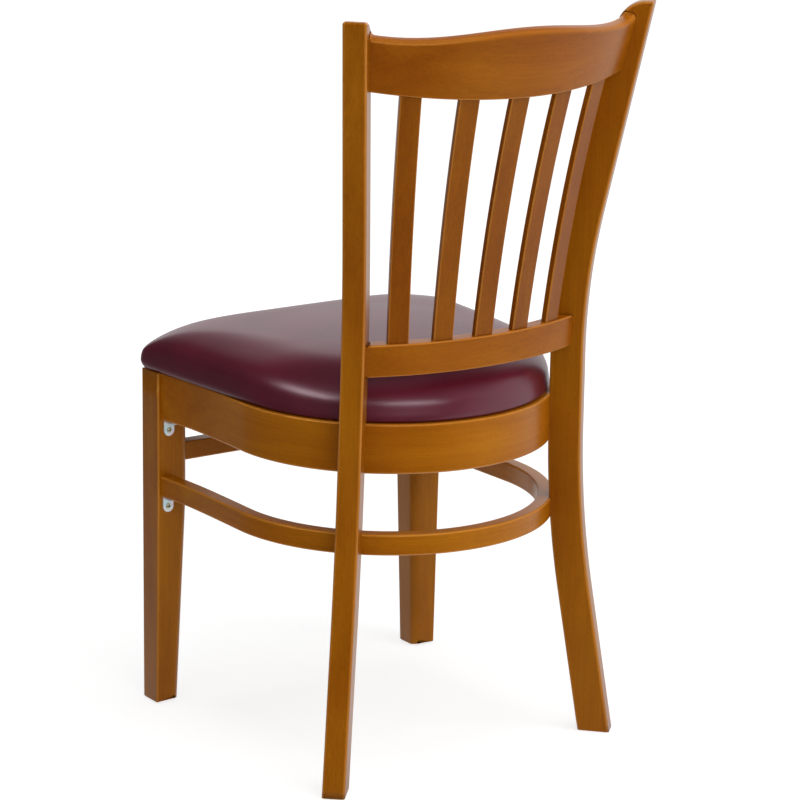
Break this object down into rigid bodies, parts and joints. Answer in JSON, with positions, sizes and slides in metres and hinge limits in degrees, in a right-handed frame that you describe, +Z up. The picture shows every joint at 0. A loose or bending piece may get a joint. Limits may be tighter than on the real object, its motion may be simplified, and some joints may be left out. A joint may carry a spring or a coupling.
{
  "type": "restaurant chair",
  "caption": "Wooden side chair with a vertical-slat back, curved crest rail, bentwood seat ring, bentwood stretcher ring and a domed vinyl seat pad",
  "frame": {"origin": "on the floor, under the middle of the chair's outer box", "axes": "+Z is up, -Y is the way the sitter faces and +X is towards the sitter's left hand"},
  "size_m": [0.4348, 0.4928, 0.8892],
  "materials": {
    "stained_wood": "stained hardwood under a satin clear lacquer",
    "plain_wood": "sawn, left bare",
    "dowel_wood": "smooth, left bare",
    "plywood": "plywood, left bare",
    "foam": "soft open-cell foam",
    "vinyl": "glossy coated vinyl with a fine leather grain",
    "zinc_steel": "bright zinc plate",
    "brass_insert": "plain turned brass",
    "glide_plastic": "hard nylon"
  },
  "bodies": {
    "root": {"rear_post_left": "stained_wood", "rear_post_right": "stained_wood", "crest_rail": "stained_wood", "lower_back_rail": "stained_wood", "back_slat_1": "stained_wood", "back_slat_2": "stained_wood", "back_slat_3": "stained_wood", "back_slat_4": "stained_wood", "back_slat_5": "stained_wood", "seat_ring": "stained_wood", "front_seat_rail": "stained_wood", "front_leg_left": "stained_wood", "front_leg_right": "stained_wood", "stretcher_ring": "stained_wood", "front_stretcher": "stained_wood", "front_corner_block_left": "plain_wood", "front_corner_block_right": "plain_wood", "rear_seat_block_left": "plain_wood", "rear_seat_block_right": "plain_wood", "seat_board": "plywood", "seat_foam": "foam", "seat_cover": "vinyl", "cover_staples": "zinc_steel", "seat_screws": "zinc_steel", "seat_screw_washers": "zinc_steel", "block_screws": "zinc_steel", "post_bolts": "zinc_steel", "post_bolt_washers": "zinc_steel", "post_bolt_inserts": "brass_insert", "stretcher_screws": "zinc_steel", "ring_braces": "zinc_steel", "stretcher_braces": "zinc_steel", "brace_screws": "zinc_steel", "ring_dowels": "dowel_wood", "seat_rail_dowels": "dowel_wood", "stretcher_ring_dowels": "dowel_wood", "front_stretcher_dowels": "dowel_wood", "floor_glides": "glide_plastic"}
  },
  "joints": []
}
